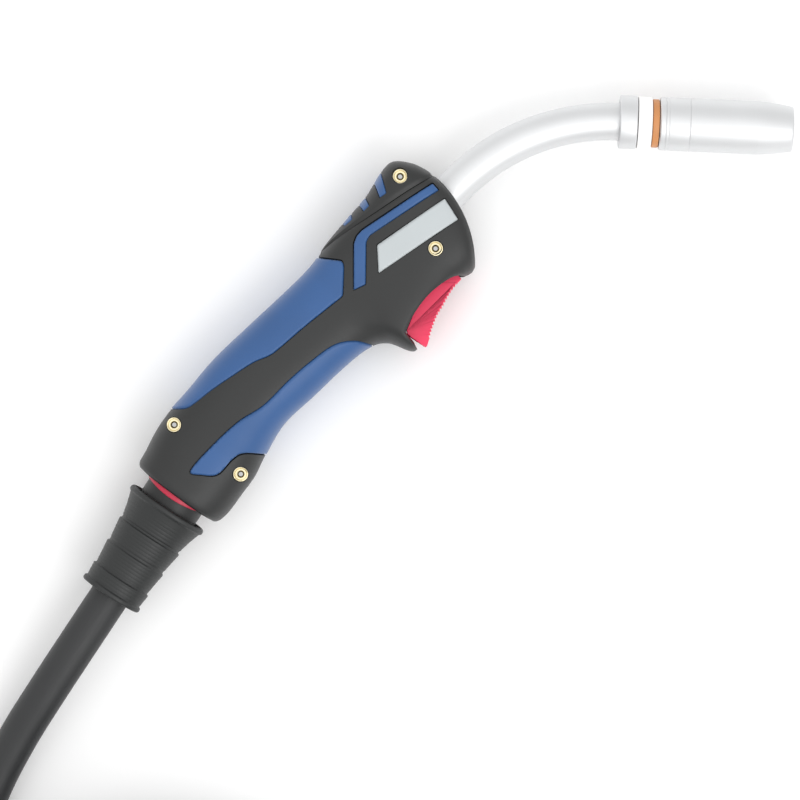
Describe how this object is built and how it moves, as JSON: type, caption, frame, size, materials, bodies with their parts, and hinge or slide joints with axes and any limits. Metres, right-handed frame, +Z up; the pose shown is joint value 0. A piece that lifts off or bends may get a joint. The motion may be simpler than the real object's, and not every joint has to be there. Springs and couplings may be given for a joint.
{
  "type": "mig welding torch",
  "caption": "Gas-cooled MIG welding torch: bent neck with gas nozzle, pistol-like handle with sprung trigger, ball joint with kink boot, coiled cable and central plug.",
  "frame": {"origin": "on the bench, under the middle of the torch without its cable, which lies on its left side", "axes": "+X along the gas nozzle towards its mouth, +Y towards the back of the handle in the plane of the neck's bend, +Z up, out of the torch's right side"},
  "size_m": [0.3694, 0.5588, 0.0543],
  "materials": {
    "shell_plastic": "moulded, fine satin texture",
    "grip_rubber": "soft overmould, satin",
    "plate_white": "blank plate, satin",
    "trigger_plastic": "moulded",
    "ring_plastic": "moulded",
    "brass": "turned",
    "steel": "plated",
    "copper": "turned copper alloy",
    "satin_aluminium": "satin, bead blasted",
    "insulator_white": "moulded",
    "seal_orange": "silicone",
    "cable_rubber": "matte jacket",
    "boot_rubber": "matte",
    "switch_plastic": "moulded",
    "lead_plastic": "extruded insulation",
    "cup_plastic": "moulded nylon",
    "strap_fabric": "woven hook and loop strap"
  },
  "bodies": {
    "handle": {"handle_shell_right": "shell_plastic", "handle_shell_left": "shell_plastic", "top_cap": "shell_plastic", "plug_shell_upper": "shell_plastic", "plug_shell_lower": "shell_plastic", "grip_pad_upper_right": "grip_rubber", "grip_pad_upper_left": "grip_rubber", "grip_pad_lower_right": "grip_rubber", "grip_pad_lower_left": "grip_rubber", "head_stripe_right": "grip_rubber", "head_stripe_left": "grip_rubber", "cap_chip_front": "grip_rubber", "cap_chip_middle": "grip_rubber", "cap_chip_rear": "grip_rubber", "name_plate_right": "plate_white", "name_plate_left": "plate_white", "screw_insert_1": "brass", "screw_insert_2": "brass", "screw_insert_3": "brass", "screw_insert_4": "brass", "gas_diffuser": "brass", "torch_block": "brass", "plug_body": "brass", "control_pin_1": "brass", "control_pin_2": "brass", "handle_screw_1": "steel", "handle_screw_2": "steel", "handle_screw_3": "steel", "handle_screw_4": "steel", "trigger_pin": "steel", "wire_liner": "steel", "nozzle_spring": "steel", "wire_nipple": "steel", "neck_core": "copper", "contact_tip": "copper", "cable_ferrule": "copper", "neck_tube": "satin_aluminium", "neck_collar": "satin_aluminium", "gas_nozzle": "satin_aluminium", "neck_insulation": "insulator_white", "insulator_ring": "insulator_white", "seal_ring": "seal_orange", "cable_in_handle": "cable_rubber", "cable_front": "cable_rubber", "cable_coil": "cable_rubber", "cable_lead": "cable_rubber", "plug_sleeve": "boot_rubber", "switch_body": "switch_plastic", "control_lead_1": "lead_plastic", "control_lead_2": "lead_plastic", "ball_cup": "cup_plastic", "coil_tie": "strap_fabric"},
    "trigger": {"trigger": "trigger_plastic", "trigger_spring": "steel"},
    "button": {"switch_button": "trigger_plastic"},
    "ball": {"ball_sleeve": "shell_plastic", "swivel_ring": "ring_plastic", "cable_bend": "cable_rubber"},
    "boot": {"kink_boot": "boot_rubber"},
    "nut": {"coupling_nut": "shell_plastic"}
  },
  "joints": [
    {"name": "trigger_pivot", "type": "hinge", "parent": "handle", "child": "trigger", "pos_m": [0.00245, 0.0378, 0.021], "axis": [0, 0, -1], "range_deg": [0, 5], "stiffness_Nm_per_rad": 1, "springref_deg": -2.86},
    {"name": "switch_press", "type": "slide", "parent": "handle", "child": "button", "axis": [-0.9336, 0.3584, 0], "range_m": [0, 0.00195]},
    {"name": "cable_tilt", "type": "hinge", "parent": "handle", "child": "ball", "pos_m": [-0.10675, -0.057, 0.021], "axis": [0, 0, 1], "range_deg": [-11, 6], "deforming": ["cable_bend"]},
    {"name": "boot_spin", "type": "hinge", "parent": "ball", "child": "boot", "pos_m": [-0.10675, -0.057, 0.021], "axis": [-0.515, -0.8572, 0], "continuous": true},
    {"name": "nut_spin", "type": "hinge", "parent": "handle", "child": "nut", "pos_m": [0.11598, -0.25964, 0.0233], "axis": [0.7071, 0.7071, 0], "continuous": true}
  ],
  "couplings": [
    {"joint": "switch_press", "follows": "trigger_pivot", "m_per_rad": 0.022}
  ]
}
